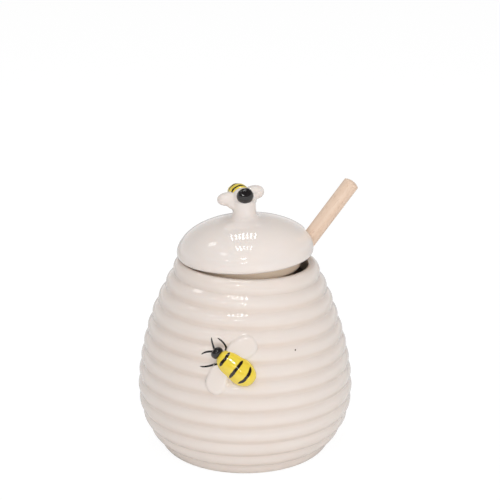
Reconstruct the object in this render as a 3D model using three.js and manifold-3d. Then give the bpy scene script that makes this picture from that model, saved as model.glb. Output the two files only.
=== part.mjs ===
// Porcelain honey jar in the shape of a coiled straw beehive, with a loose domed lid,
// a bee for the lid's knob, a bee in relief on the wall and a wooden honey dipper.
// Millimetres, +Z up. The origin is on the jar's axis, in the plane of its foot ring.
// The jar faces -Y: the bee in relief is on that side, and the dipper leans out towards +X.
import * as THREE from 'three';
import { mergeVertices } from 'three/addons/utils/BufferGeometryUtils.js';
import Module from 'manifold-3d';

const wasm = await Module();
wasm.setup();

// Everything that touches in the real jar stands this far apart here
const fitGap = 0.3;
const mergeTolerance = 1e-4;

// The jar's outside: a belly line through the grooves, with coils bulging between them
const coilCount = 11;
const coilBulge = 1.2;
const coilCrowding = 0.7;
const heelRadius = 46.5;
const heelHeight = 5.6;
const bellyRadius = 55.5;
const bellyHeight = 33.1;
const neckRadius = 37.85;
const neckHeight = 94.9;

// Handles that bend the belly line: from the heel, below and above the belly, and from the neck
const heelHandle = { out: 6.5, up: 8.5 };
const bellyHandle = { below: 11.7, above: 19 };
const neckHandle = { out: 10.55, down: 17.3 };

// Foot, lip and wall
const footRadius = 42.4;
const footRingWidth = 3.5;
const footRecess = 0.9;
const footBandBulge = 0.9;
const lipHeight = 101.3;
const lipOuterRadius = 36.4;
const lipOuterRounding = 1;
const lipBandHandle = { radius: 39, rise: 3 };
const mouthRadius = 31.7;
const mouthRounding = 2.2;
const mouthDepth = 8.5;
const wallThickness = 4.2;
const innerWallShares = [0.02, 0.92];
const floorHeight = 5.6;
const floorRadius = 36;
const floorRounding = 3;

// The rings aren't quite level. They climb towards -X by this slope at the rim, by less and
// less below it, and not at all under the level height.
const rimSlope = 0.03;
const levelHeight = 12;

// The lid's dome is a superellipse of revolution. The lid's frame has its origin
// in the middle of its widest circle.
const lidRadius = 35.4;
const domeHeight = 17.25;
const domeRoundness = 2.13;
const lidThickness = 4.2;
const lidEdgeDepth = 3.2;
const lidSeatInset = 2.6;
const flangeRadius = 28.5;
const flangeThickness = 3.4;
const flangeDepth = 6.3;
const flangeChamfer = { in: 0.5, up: 0.8 };
const lidRestHeight = 106.95;
const lidTilt = THREE.MathUtils.degToRad(-2.37);

// The arch in the lid's edge that the dipper passes through
const notchWidth = 13.5;
const notchTop = 7.7;
const notchStart = 18;

// The dipper: a dowel pushed into a grooved head. Its frame has its origin where its axis
// crosses the plane of the rim, with +Z along the handle.
const dipperAzimuth = THREE.MathUtils.degToRad(9.5);
const dipperLean = THREE.MathUtils.degToRad(37);
const dipperCrossingRadius = 26.7;
const dipperCrossingHeight = 101;
const handleRadius = 4.2;
const handleTip = 49.6;
const handleEndRise = 1.3;
const handleEndFlat = 0.6;
const dipperBottom = -113.6;
const headLength = 42;
const headRadius = 12;
const headFullestShare = 0.46;
const headSlimming = 0.36;
const headBluntness = 2.6;
const headCoreRadius = 6.8;
const headNoseRadius = 4.5;
const headDiscCount = 7;
const headDiscShare = 0.56;
const socketDepth = 16;

// The bee on the lid, in the lid's frame. It is turned about the lid's axis, its wings dip
// to the left as seen from the front, and its stem stands a little to the right.
const knobYaw = THREE.MathUtils.degToRad(22.5);
const knobRoll = THREE.MathUtils.degToRad(-4);
const stemShift = 0.5;
const stemRadius = 6;
const stemFlare = 3.6;
const stemSink = 2;
const stemFlareHeight = 3;
const stemTop = 26.6;
const knobHead = { forward: 3.7, height: 29.3, length: 4, width: 4.35, thickness: 4.2, bluntness: 2.1 };
const knobBody = { forward: -4.8, height: 28.4, length: 8.2, width: 5.7, thickness: 5.3, bluntness: 2.1 };
const knobWing = { forward: -4.3, height: 27.8, length: 4.7, width: 8.4, thickness: 3.4, bluntness: 2.5 };
const knobWingReach = { left: 12.4, right: 13.6 };

// The bee in relief, in a frame on the wall: +X from head to tail, +Z straight out of the wall
const reliefHeight = 61.2;
const reliefAzimuth = THREE.MathUtils.degToRad(-5);
const reliefSpin = THREE.MathUtils.degToRad(-31);
const reliefBodyTurn = THREE.MathUtils.degToRad(-5.5);
const reliefBody = { front: -10.6, widest: 2.2, tail: 11.1, radius: 6.45, flatness: 0.8 };
const reliefBodyBends = { front: 5.8, shoulder: [5.9, -4.2], hip: [6.6, 6.8], tail: 4.6 };
const reliefHead = { centre: -11.9, length: 2.4, width: 3.2, thickness: 2.7, bluntness: 2.2 };
const reliefWingLift = 1.3;
const reliefWingRoot = 1.5;
const reliefWingWidest = 0.62;
const reliefWings = {
  relief_wing_upper: { root: [-6.6, 2], sweep: 62, length: 16.2, width: 11 },
  relief_wing_lower: { root: [-7.2, -1.5], sweep: -73, length: 16.4, width: 10.4 },
};

// Finishes
const porcelain = { color: 0xe6ddd6, roughness: 0.16, metalness: 0 };
const yellowGlaze = { color: 0xe8cc3c, roughness: 0.18, metalness: 0 };
const blackGlaze = { color: 0x16151a, roughness: 0.14, metalness: 0 };
const beech = { color: 0xe2c6b2, roughness: 0.62, metalness: 0 };

const group = new THREE.Group();

// Adds one named piece
function addPiece(name, geometry, finish, parent = group) {
  const mesh = new THREE.Mesh(geometry, new THREE.MeshStandardMaterial(finish));
  mesh.name = name;
  parent.add(mesh);
  return mesh;
}

// Turns a geometry into a solid that can be cut and joined
function toSolid(geometry) {
  const bare = geometry.clone();
  bare.deleteAttribute('normal');
  bare.deleteAttribute('uv');
  const merged = mergeVertices(bare, mergeTolerance);
  const corners = merged.index.array;
  const triangles = [];
  for (let i = 0; i < corners.length; i += 3) {
    const [a, b, c] = corners.subarray(i, i + 3);
    if (a !== b && b !== c && c !== a) {
      triangles.push(a, b, c);
    }
  }
  return new wasm.Manifold(new wasm.Mesh({
    numProp: 3,
    vertProperties: new Float32Array(merged.attributes.position.array),
    triVerts: new Uint32Array(triangles),
  }));
}

function toGeometry(solid) {
  const mesh = solid.getMesh();
  const geometry = new THREE.BufferGeometry();
  geometry.setAttribute('position', new THREE.BufferAttribute(mesh.vertProperties, 3));
  geometry.setIndex(new THREE.BufferAttribute(mesh.triVerts, 1));
  geometry.computeVertexNormals();
  return geometry;
}

// Revolves a profile about +Z. It runs from the axis, outwards and upwards, and back to the axis.
function revolve(points, segments) {
  return new THREE.LatheGeometry(points, segments).rotateX(Math.PI / 2);
}

// A rounded lump with half its length, width and thickness along X, Y and Z, grown by a margin.
// A bluntness of 2 gives an ellipsoid, and more gives squarer shoulders.
function lump({ length, width, thickness, bluntness }, margin = 0, segments = 20) {
  const ball = new THREE.SphereGeometry(1, segments, segments / 2);
  const corners = ball.attributes.position;
  for (let i = 0; i < corners.count; i += 1) {
    const corner = new THREE.Vector3().fromBufferAttribute(corners, i);
    const sum = corner.toArray().reduce((total, value) => total + Math.abs(value) ** bluntness, 0);
    corner.multiplyScalar(sum ** (-1 / bluntness));
    corners.setXYZ(i, corner.x, corner.y, corner.z);
  }
  return ball.scale(length + margin, width + margin, thickness + margin);
}

// Belly line: the smooth curve through the bottoms of the grooves, from the heel to the neck
const bellyLine = new THREE.CurvePath();
bellyLine.add(new THREE.CubicBezierCurve(
  new THREE.Vector2(heelRadius, heelHeight),
  new THREE.Vector2(heelRadius + heelHandle.out, heelHeight + heelHandle.up),
  new THREE.Vector2(bellyRadius, bellyHeight - bellyHandle.below),
  new THREE.Vector2(bellyRadius, bellyHeight),
));
bellyLine.add(new THREE.CubicBezierCurve(
  new THREE.Vector2(bellyRadius, bellyHeight),
  new THREE.Vector2(bellyRadius, bellyHeight + bellyHandle.above),
  new THREE.Vector2(neckRadius + neckHandle.out, neckHeight - neckHandle.down),
  new THREE.Vector2(neckRadius, neckHeight),
));

// A point beside the belly line: a share of the way up it, and an offset out of the wall
function besideBelly(share, offset) {
  const point = bellyLine.getPointAt(share);
  const along = bellyLine.getTangentAt(share);
  return new THREE.Vector2(point.x + offset * along.y, point.y - offset * along.x);
}

// The grooves are a coil apart, drawn together a little towards the belly's middle
function grooveShare(index) {
  const even = index / coilCount;
  const swing = coilCrowding / bellyLine.getLength();
  return even + swing * Math.sin(2 * Math.PI * even);
}

// The outside of the jar from the foot to the lip. The coils can stand out further by a margin.
function outerWall(margin = 0) {
  const grow = (point) => new THREE.Vector2(point.x + margin, point.y);
  const wall = new THREE.Path();
  wall.moveTo(0, footRecess);
  wall.lineTo(footRadius - footRingWidth - footRecess, footRecess);
  wall.lineTo(footRadius - footRingWidth, 0);
  wall.lineTo(footRadius + margin, 0);
  const heel = grow(besideBelly(0, 0));
  const footMiddle = (footRadius + margin + heel.x) / 2 + footBandBulge;
  wall.quadraticCurveTo(footMiddle, heel.y / 2 - footBandBulge, heel.x, heel.y);
  for (let coil = 0; coil < coilCount; coil += 1) {
    const middle = (grooveShare(coil) + grooveShare(coil + 1)) / 2;
    const crown = grow(besideBelly(middle, 2 * coilBulge));
    const groove = grow(besideBelly(grooveShare(coil + 1), 0));
    wall.quadraticCurveTo(crown.x, crown.y, groove.x, groove.y);
  }
  return wall;
}

// Revolves a profile of the jar and tips its rings
const jarSegments = 44;
function leaningSolid(points) {
  const geometry = revolve(points, jarSegments);
  const corners = geometry.attributes.position;
  for (let i = 0; i < corners.count; i += 1) {
    const height = corners.getZ(i);
    const share = THREE.MathUtils.clamp((height - levelHeight) / (lipHeight - levelHeight), 0, 1);
    corners.setZ(i, height - corners.getX(i) * rimSlope * share);
  }
  return toSolid(geometry);
}

// Jar body: coiled wall, rounded lip, narrower neck inside, and a floor over the foot ring
const coilSteps = 4;
const innerWallSteps = 8;
const jarProfile = outerWall();
const lipShoulder = lipHeight - lipOuterRounding;
const lipTopRadius = (lipOuterRadius + mouthRadius) / 2;
jarProfile.quadraticCurveTo(
  lipBandHandle.radius,
  neckHeight + lipBandHandle.rise,
  lipOuterRadius,
  lipShoulder,
);
jarProfile.quadraticCurveTo(lipOuterRadius - lipOuterRounding / 2, lipHeight, lipTopRadius, lipHeight);
jarProfile.quadraticCurveTo(mouthRadius, lipHeight, mouthRadius, lipHeight - mouthRounding);
jarProfile.lineTo(mouthRadius, lipHeight - mouthDepth);
for (let step = innerWallSteps; step >= 0; step -= 1) {
  const share = THREE.MathUtils.lerp(...innerWallShares, step / innerWallSteps);
  const inner = besideBelly(share, -wallThickness);
  jarProfile.lineTo(inner.x, inner.y);
}
jarProfile.quadraticCurveTo(floorRadius + floorRounding, floorHeight, floorRadius, floorHeight);
jarProfile.lineTo(0, floorHeight);
addPiece('jar_body', toGeometry(leaningSolid(jarProfile.getPoints(coilSteps))), porcelain);

// What the relief is trimmed with: the wall with its coils, grown by the gap
const grownWall = outerWall(fitGap);
grownWall.lineTo(0, neckHeight);
const grownWallSolid = leaningSolid(grownWall.getPoints(coilSteps));

// A smooth skin over the crowns of the coils, which the relief's wings lie in
function smoothSkin(lift) {
  const skin = new THREE.Path();
  const skinSteps = 2 * coilCount;
  skin.moveTo(0, heelHeight);
  for (let step = 0; step <= skinSteps; step += 1) {
    const point = besideBelly(step / skinSteps, coilBulge + lift);
    skin.lineTo(point.x, point.y);
  }
  skin.lineTo(0, neckHeight);
  return leaningSolid(skin.getPoints(1));
}

// A frame on the wall at a height and an azimuth from -Y, turned about the wall's normal
function wallFrame(height, azimuth, spin) {
  const shareStep = 0.001;
  let share = 0;
  while (bellyLine.getPointAt(share).y < height) {
    share += shareStep;
  }
  const onWall = besideBelly(share, coilBulge / 2);
  const along = bellyLine.getTangentAt(share);
  const outwards = new THREE.Vector3(along.y * Math.sin(azimuth), -along.y * Math.cos(azimuth), -along.x);
  const sideways = new THREE.Vector3(Math.cos(azimuth), Math.sin(azimuth), 0);
  const frame = new THREE.Matrix4().makeBasis(
    sideways,
    new THREE.Vector3().crossVectors(outwards, sideways),
    outwards,
  );
  frame.multiply(new THREE.Matrix4().makeRotationZ(spin));
  return frame.setPosition(onWall.x * Math.sin(azimuth), -onWall.x * Math.cos(azimuth), onWall.y);
}
const reliefFrame = wallFrame(reliefHeight, reliefAzimuth, reliefSpin);

// The bee's body lies along X, half sunk in the wall: blunt in front and full at the tail
function reliefEgg(margin) {
  const { front, widest, tail, radius, flatness } = reliefBody;
  const bends = reliefBodyBends;
  const side = new THREE.Path();
  side.moveTo(0, front - margin);
  side.bezierCurveTo(
    bends.front + margin,
    front - margin,
    bends.shoulder[0] + margin,
    bends.shoulder[1],
    radius + margin,
    widest,
  );
  side.bezierCurveTo(
    bends.hip[0] + margin,
    bends.hip[1],
    bends.tail + margin,
    tail + margin,
    0,
    tail + margin,
  );
  const egg = new THREE.LatheGeometry(side.getPoints(7), 20).rotateZ(-Math.PI / 2);
  egg.scale(1, 1, flatness).rotateZ(reliefBodyTurn);
  return toSolid(egg.applyMatrix4(reliefFrame));
}
const grownEgg = reliefEgg(fitGap);
addPiece('relief_body', toGeometry(reliefEgg(0).subtract(grownWallSolid)), yellowGlaze);

// The head is a flattened ball pressed against the narrow end of the egg
const reliefHeadBall = lump(reliefHead, 0, 16)
  .translate(reliefHead.centre, 0, 0)
  .rotateZ(reliefBodyTurn)
  .applyMatrix4(reliefFrame);
const reliefHeadSolid = toSolid(reliefHeadBall).subtract(grownWallSolid).subtract(grownEgg);
addPiece('relief_head', toGeometry(reliefHeadSolid), blackGlaze);

// A teardrop wing: its outline is pushed through the wall and keeps only the skin over the coils
function reliefWing({ root, sweep, length, width }) {
  const half = width / 2;
  const widest = length * reliefWingWidest;
  const outline = new THREE.Shape();
  outline.moveTo(0, -reliefWingRoot);
  outline.bezierCurveTo(widest * 0.25, -half * 0.8, widest * 0.6, -half, widest, -half);
  outline.bezierCurveTo(length * 0.86, -half, length, -half * 0.55, length, 0);
  outline.bezierCurveTo(length, half * 0.55, length * 0.86, half, widest, half);
  outline.bezierCurveTo(widest * 0.6, half, widest * 0.25, half * 0.8, 0, reliefWingRoot);
  outline.closePath();
  const depth = 16;
  const prism = new THREE.ExtrudeGeometry(outline, { depth, bevelEnabled: false, curveSegments: 6 });
  prism.translate(0, 0, -depth / 2);
  prism.rotateZ(THREE.MathUtils.degToRad(sweep));
  prism.translate(root[0], root[1], 0);
  return toSolid(prism.applyMatrix4(reliefFrame));
}
const wingSkin = smoothSkin(reliefWingLift);
for (const [name, wing] of Object.entries(reliefWings)) {
  const plate = reliefWing(wing).intersect(wingSkin).subtract(grownWallSolid);
  addPiece(name, toGeometry(plate.subtract(grownEgg)), porcelain);
}

// The lid and its knob share a frame that is tipped where the lid rests on the dipper
const lid = new THREE.Group();
lid.position.set(0, 0, lidRestHeight);
lid.rotation.y = lidTilt;
group.add(lid);

// Points of a quarter superellipse, from its widest circle up to its top on the axis
function domeQuarter(radius, height, steps) {
  const points = [];
  for (let step = 0; step <= steps; step += 1) {
    const angle = (Math.PI / 2) * (step / steps);
    const across = step < steps ? radius * Math.cos(angle) ** (2 / domeRoundness) : 0;
    points.push(new THREE.Vector2(across, height * Math.sin(angle) ** (2 / domeRoundness)));
  }
  return points;
}

// Lid: an even shell with a rounded edge, a flat seat and a flange that drops into the mouth
const lidSegments = 44;
const flangeInnerRadius = flangeRadius - flangeThickness;
const flangeBottom = -lidEdgeDepth - flangeDepth;
const innerDome = domeQuarter(lidRadius - lidThickness, domeHeight - lidThickness, 8);
const lidProfile = new THREE.Path();
lidProfile.moveTo(0, domeHeight - lidThickness);
for (const point of innerDome.reverse().slice(1)) {
  lidProfile.lineTo(point.x, point.y);
}
lidProfile.quadraticCurveTo(lidRadius - lidThickness, -lidEdgeDepth, flangeInnerRadius, -lidEdgeDepth);
lidProfile.lineTo(flangeInnerRadius, flangeBottom);
lidProfile.lineTo(flangeRadius - flangeChamfer.in, flangeBottom);
lidProfile.lineTo(flangeRadius, flangeBottom + flangeChamfer.up);
lidProfile.lineTo(flangeRadius, -lidEdgeDepth);
lidProfile.lineTo(lidRadius - lidSeatInset, -lidEdgeDepth);
lidProfile.quadraticCurveTo(lidRadius, -lidEdgeDepth, lidRadius, 0);
for (const point of domeQuarter(lidRadius, domeHeight, 12).slice(1)) {
  lidProfile.lineTo(point.x, point.y);
}
const lidShell = toSolid(revolve(lidProfile.getPoints(3), lidSegments));

// The notch is an arched tunnel from inside the flange out through the lid's edge
function archTunnel() {
  const half = notchWidth / 2;
  const below = flangeBottom - 1;
  const arch = new THREE.Shape();
  arch.moveTo(-half, below);
  arch.lineTo(half, below);
  arch.lineTo(half, notchTop - half);
  arch.absarc(0, notchTop - half, half, 0, Math.PI, false);
  arch.closePath();
  const tunnel = new THREE.ExtrudeGeometry(arch, {
    depth: lidRadius,
    bevelEnabled: false,
    curveSegments: 10,
  });
  // Stand the arch up and push it outwards along +X, then turn it to the dipper
  tunnel.rotateX(Math.PI / 2).rotateZ(Math.PI / 2).translate(notchStart, 0, 0);
  return toSolid(tunnel.rotateZ(dipperAzimuth));
}
addPiece('lid_dome', toGeometry(lidShell.subtract(archTunnel())), porcelain, lid);

// What the knob's stem is trimmed with: the dome, grown by the gap
const grownDome = new THREE.Path();
grownDome.moveTo(0, 0);
for (const point of domeQuarter(lidRadius + fitGap, domeHeight + fitGap, 12)) {
  grownDome.lineTo(point.x, point.y);
}
const grownDomeSolid = toSolid(revolve(grownDome.getPoints(1), lidSegments));

// The knob's lumps lie along the bee, forward being towards its head and sideways towards +X.
// They are rolled about the bee's middle line, which is at the height of its wings.
function knobLump(shape, margin, sideways = 0, segments = 20) {
  const lying = lump(shape, margin, segments).rotateZ(-Math.PI / 2);
  lying.translate(sideways, -shape.forward, shape.height - knobWing.height);
  lying.rotateY(knobRoll).translate(0, 0, knobWing.height);
  return toSolid(lying.rotateZ(knobYaw));
}

// A wing is a thick rounded paddle that reaches out from the bee's side
function knobPaddle(side, margin) {
  const reach = side < 0 ? knobWingReach.left : knobWingReach.right;
  return knobLump(knobWing, margin, side * (reach - knobWing.width));
}

// Stem: a short column that flares onto the dome and is hollowed where the bee sits on it
const stemProfile = new THREE.Path();
stemProfile.moveTo(0, domeHeight - stemSink);
stemProfile.lineTo(stemRadius + stemFlare, domeHeight - stemSink);
stemProfile.quadraticCurveTo(stemRadius, domeHeight, stemRadius, domeHeight + stemFlareHeight);
stemProfile.lineTo(stemRadius, stemTop);
stemProfile.lineTo(0, stemTop);
const beeBody = knobLump(knobBody, 0);
const grownBeeBody = knobLump(knobBody, fitGap);
const grownBeeHead = knobLump(knobHead, fitGap, 0, 16);
const stemColumn = revolve(stemProfile.getPoints(4), 24).translate(stemShift, 0, 0);
let stem = toSolid(stemColumn).subtract(grownDomeSolid);
stem = stem.subtract(grownBeeBody).subtract(grownBeeHead);
for (const side of [-1, 1]) {
  stem = stem.subtract(knobPaddle(side, fitGap));
}
addPiece('knob_stem', toGeometry(stem), porcelain, lid);

// The bee that is the knob: body, head and two wings, each pressed against its neighbour
addPiece('knob_bee_body', toGeometry(beeBody), yellowGlaze, lid);
const beeHead = knobLump(knobHead, 0, 0, 16).subtract(grownBeeBody);
addPiece('knob_bee_head', toGeometry(beeHead), blackGlaze, lid);
for (const [name, side] of [['knob_wing_left', -1], ['knob_wing_right', 1]]) {
  const wing = knobPaddle(side, 0).subtract(grownBeeBody).subtract(grownBeeHead);
  addPiece(name, toGeometry(wing), porcelain, lid);
}

// The dipper leans against the mouth, with its head in the far corner of the floor
const dipper = new THREE.Group();
dipper.rotation.set(0, dipperLean, dipperAzimuth, 'ZYX');
dipper.position.set(
  dipperCrossingRadius * Math.cos(dipperAzimuth),
  dipperCrossingRadius * Math.sin(dipperAzimuth),
  dipperCrossingHeight,
);
group.add(dipper);

// Handle: a dowel with a rounded end above, and its foot in the head's socket
const headTop = dipperBottom + headLength;
const handleProfile = new THREE.Path();
handleProfile.moveTo(0, headTop - socketDepth + fitGap);
handleProfile.lineTo(handleRadius, headTop - socketDepth + fitGap);
handleProfile.lineTo(handleRadius, handleTip - handleEndRise);
handleProfile.quadraticCurveTo(handleRadius * handleEndFlat, handleTip, 0, handleTip);
addPiece('dipper_handle', toGeometry(toSolid(revolve(handleProfile.getPoints(3), 24))), beech, dipper);

// Head: discs turned along an egg's outline, with grooves that hold the honey
function headOutline(share) {
  const fromFullest = Math.abs(2 * (share - headFullestShare));
  return headRadius * (1 - headSlimming * fromFullest ** headBluntness);
}
const headProfile = new THREE.Path();
const discPitch = 1 / headDiscCount;
headProfile.moveTo(0, dipperBottom);
headProfile.lineTo(headNoseRadius, dipperBottom);
for (let disc = 0; disc < headDiscCount; disc += 1) {
  const isTop = disc === headDiscCount - 1;
  const low = disc * discPitch;
  const high = low + (isTop ? 1 : headDiscShare) * discPitch;
  if (disc > 0) {
    headProfile.lineTo(headCoreRadius, dipperBottom + low * headLength);
    headProfile.lineTo(headOutline(low), dipperBottom + low * headLength);
  }
  headProfile.lineTo(headOutline(high), dipperBottom + high * headLength);
  if (!isTop) {
    headProfile.lineTo(headCoreRadius, dipperBottom + high * headLength);
  }
}
headProfile.lineTo(handleRadius + fitGap, headTop);
headProfile.lineTo(handleRadius + fitGap, headTop - socketDepth);
headProfile.lineTo(0, headTop - socketDepth);
addPiece('dipper_head', toGeometry(toSolid(revolve(headProfile.getPoints(1), 24))), beech, dipper);

export default group;
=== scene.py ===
# %% [markdown]
# A honey jar shaped like a coiled straw beehive: a glazed porcelain jar with a bee in relief,
# a loose domed lid with a bee for its knob, and a beech dipper. The imported model holds the
# sizes, the joints and plain solids. This lesson gives each of them its real surface: soft
# coils, a bee that grows out of the clay, brushwork under the glaze, and wood with grain.

# %% Load the frame
import math
from functools import partial

import bpy
import numpy as np
from mathutils import Matrix, Vector, noise
from mathutils.bvhtree import BVHTree


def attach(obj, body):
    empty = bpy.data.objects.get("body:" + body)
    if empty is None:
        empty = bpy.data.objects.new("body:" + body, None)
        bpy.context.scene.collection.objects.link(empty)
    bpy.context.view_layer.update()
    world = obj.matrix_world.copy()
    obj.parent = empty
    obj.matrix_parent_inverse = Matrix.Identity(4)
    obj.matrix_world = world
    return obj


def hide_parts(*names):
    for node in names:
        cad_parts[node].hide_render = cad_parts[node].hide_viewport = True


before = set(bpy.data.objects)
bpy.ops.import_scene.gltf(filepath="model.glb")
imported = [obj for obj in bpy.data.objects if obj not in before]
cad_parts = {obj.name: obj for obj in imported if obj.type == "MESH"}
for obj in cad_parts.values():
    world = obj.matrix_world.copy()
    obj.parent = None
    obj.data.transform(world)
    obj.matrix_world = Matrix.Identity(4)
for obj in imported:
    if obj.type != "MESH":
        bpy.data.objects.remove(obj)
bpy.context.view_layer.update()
mm = 0.001
scene = bpy.context.scene

# %% Helpers to add objects and shader nodes
origin = (0, 0, 0)
white = (1, 1, 1, 1)


def add_object(name, data):
    """An object in the scene that shows a mesh, a lamp or a camera."""
    thing = bpy.data.objects.new(name, data)
    scene.collection.objects.link(thing)
    return thing


def set_inputs(tree, node, values):
    """Sets a node's inputs, or links them where a value is another node's output."""
    for label, value in values.items():
        if isinstance(value, bpy.types.NodeSocket):
            tree.links.new(value, node.inputs[label])
        else:
            node.inputs[label].default_value = value


def new_node(tree, kind, inputs, **settings):
    """Adds a shader node. Its inputs go by name or number. Gives its outputs."""
    node = tree.nodes.new("ShaderNode" + kind)
    for label, value in settings.items():
        setattr(node, label, value)
    set_inputs(tree, node, inputs)
    return node.outputs


# %% [markdown]
# The camera stands where the photograph was taken from: straight in front, 0.7 metres away,
# looking down a little. Its focal length in pixels is turned into millimetres of lens.

# %% Camera
picture_width = 500
sensor_width = 36
focal_length_in_pixels = 1351
object_left_of_middle = 4.85
camera_place = Vector((0, -669.45, 310.74)) * mm
camera_looks_down = math.radians(16.988)

camera_data = bpy.data.cameras.new("camera")
camera_data.sensor_width = sensor_width
camera_data.lens = focal_length_in_pixels / picture_width * sensor_width
camera_data.shift_x = object_left_of_middle / picture_width
camera = add_object("camera", camera_data)
camera.location = camera_place
camera.rotation_euler = (math.pi / 2 - camera_looks_down, 0, 0)
scene.camera = camera
scene.view_settings.view_transform = "Standard"
print("lens in mm:", round(camera_data.lens, 1))

# %% [markdown]
# Porcelain is judged by its reflections. A pale room gives even light, a large soft lamp at
# the front right gives the form its slow shading, and rows of small ceiling panels give the
# crisp marks that say wet, smooth glaze. The room is plain white to the camera, and dimmer as
# a light, so that the lamps still shape the jar. Mirrors see its bright back wall, but a dim
# front and a dim ceiling, so that the glaze doesn't look milky.

# %% World
world_light = 0.455
ceiling_in_mirrors = 0.12
ceiling_begins = 0.45
front_in_mirrors = 0.22
front_ends, back_begins = -0.4, 0.3
world = bpy.data.worlds.new("pale_room")
world.use_nodes = True
scene.world = world
tree = world.node_tree
direction = new_node(tree, "TexCoord", {})["Generated"]
axes = new_node(tree, "SeparateXYZ", {0: direction})
wall = new_node(tree, "MapRange", {
    0: axes["Y"], "From Min": front_ends, "From Max": back_begins, "To Min": front_in_mirrors,
})[0]
mirrored = new_node(tree, "MapRange", {
    0: axes["Z"], "From Max": ceiling_begins, "To Min": wall, "To Max": ceiling_in_mirrors,
})[0]
rays = new_node(tree, "LightPath", {})
strength = world_light
for ray, seen in [("Glossy", mirrored), ("Transmission", 1.0), ("Camera", 1.0)]:
    strength = new_node(tree, "Mix", {0: rays[f"Is {ray} Ray"], 2: strength, 3: seen})[0]
set_inputs(tree, tree.nodes["Background"], {"Color": white, "Strength": strength})
print("world:", world.name)

# %% Lamps
jar_middle = (0, 0, 0.07)


def add_lamp(name, place, width, depth, power, aim=jar_middle):
    """A rectangular lamp that faces a point. Its sizes are in metres, its power in watts."""
    data = bpy.data.lights.new(name, "AREA")
    data.shape = "RECTANGLE"
    data.size = width
    data.size_y = depth
    data.energy = power
    lamp = add_object(name, data)
    lamp.location = place
    facing = Vector(aim) - Vector(place)
    lamp.rotation_euler = facing.to_track_quat("-Z", "Y").to_euler()
    return lamp


# These two shape the jar without a mark in its mirrors
add_lamp("soft_box", (0.62, -0.95, 1.25), 1.1, 1.1, power=4.4).visible_glossy = False
add_lamp("low_fill", (0.3, -1.25, 0.32), 1.0, 0.5, power=3.4).visible_glossy = False

# Each row of ceiling panels: its name, Y, middle X, distance and count
panel_height = 1.25
panel_rows = [("far", 0.63, -0.093, 0.058, 7), ("near", -0.1, -0.096, 0.07, 5)]
for row, y, middle, apart, count in panel_rows:
    for panel in range(count):
        x = middle + (panel - (count - 1) / 2) * apart
        place = (x, y, panel_height)
        add_lamp(f"panel_{row}_{panel}", place, 0.016, 0.34, power=0.24, aim=(x, y, 0))

# Windows and tubes in front and on the left leave single marks
add_lamp("left_window", (-0.68, -0.4, 1.2), 0.22, 0.18, power=0.36)
add_lamp("back_window", (-0.74, 0.45, 1.25), 0.26, 0.2, power=0.5)
add_lamp("slanted_strip", (-0.86, -1.25, 1.05), 0.22, 0.04, power=0.45)
add_lamp("front_tube", (-0.14, -1.15, 1.2), 0.34, 0.014, power=2.0)
add_lamp("low_tube", (-0.12, -1.35, 0.62), 0.4, 0.02, power=0.8)
print("lamps:", len(bpy.data.lights))

# %% [markdown]
# The floor is a big plain sheet. Only the camera sees it nearly white: there, most of its
# colour is a glow, and the rest is a matt paint that keeps the jar's soft shadow.

# %% Floor
floor_reach = 6.0
floor_white = 0.93
glow_strength = 1.06
glow_share = 0.88
corners = np.array([(-1, -1, 0), (1, -1, 0), (1, 1, 0), (-1, 1, 0)]) * floor_reach
floor_mesh = bpy.data.meshes.new("floor")
floor_mesh.from_pydata(corners.tolist(), [], [(0, 1, 2, 3)])
floor = add_object("floor", floor_mesh)

floor_paint = bpy.data.materials.new("floor_paint")
floor_paint.use_nodes = True
floor_mesh.materials.append(floor_paint)
tree = floor_paint.node_tree
tree.nodes.clear()
matt = new_node(tree, "BsdfDiffuse", {0: (floor_white, floor_white, floor_white, 1)})[0]
glow = new_node(tree, "Emission", {"Strength": glow_strength})[0]
from_camera = new_node(tree, "LightPath", {})["Is Camera Ray"]
share = new_node(tree, "Math", {0: from_camera, 1: glow_share}, operation="MULTIPLY")[0]
paint = new_node(tree, "MixShader", {0: share, 1: matt, 2: glow})[0]
new_node(tree, "OutputMaterial", {"Surface": paint})
print("floor reaches", floor_reach, "m each way")

# %% [markdown]
# Nearly every piece here was cast or turned, so its shape is a profile spun about an axis: a
# list of radius and height in millimetres. It is kept as numbers, because the bee has to know
# how far the wall stands out. Short helpers bend, soften and thin it.


# %% Profile helpers
def bend(controls, steps=24):
    """Points along a Bezier curve with any number of control points."""
    share = np.linspace(0, 1, steps + 1)[:, None, None]
    points = np.repeat(np.array(controls, float)[None], steps + 1, axis=0)
    while points.shape[1] > 1:
        points = points[:, :-1] * (1 - share) + points[:, 1:] * share
    return points[:, 0]


def run_lengths(line):
    """How far along a line each of its points is."""
    return np.r_[0, np.cumsum(np.linalg.norm(np.diff(line, axis=0), axis=1))]


def at_runs(line, runs, wanted):
    """The values of a line at wanted lengths along it."""
    return np.column_stack([np.interp(wanted, runs, column) for column in line.T])


def soften(profile, rounding, spacing=0.1):
    """Rounds every corner of a profile, as a coat of glaze or a turner's sandpaper does."""
    profile = np.array(profile, float)
    lengths = run_lengths(profile)
    even = np.linspace(0, lengths[-1], int(lengths[-1] / spacing))
    points = at_runs(profile, lengths, even)
    reach = int(3 * rounding / spacing)
    weights = np.exp(-0.5 * (np.arange(-reach, reach + 1) * spacing / rounding) ** 2)
    before = 2 * points[0] - points[reach:0:-1]
    after = 2 * points[-1] - points[-2:-reach - 2:-1]
    padded = np.vstack([before, points, after])
    smooth = [np.convolve(column, weights / weights.sum(), "valid") for column in padded.T]
    return np.column_stack(smooth)


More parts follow.
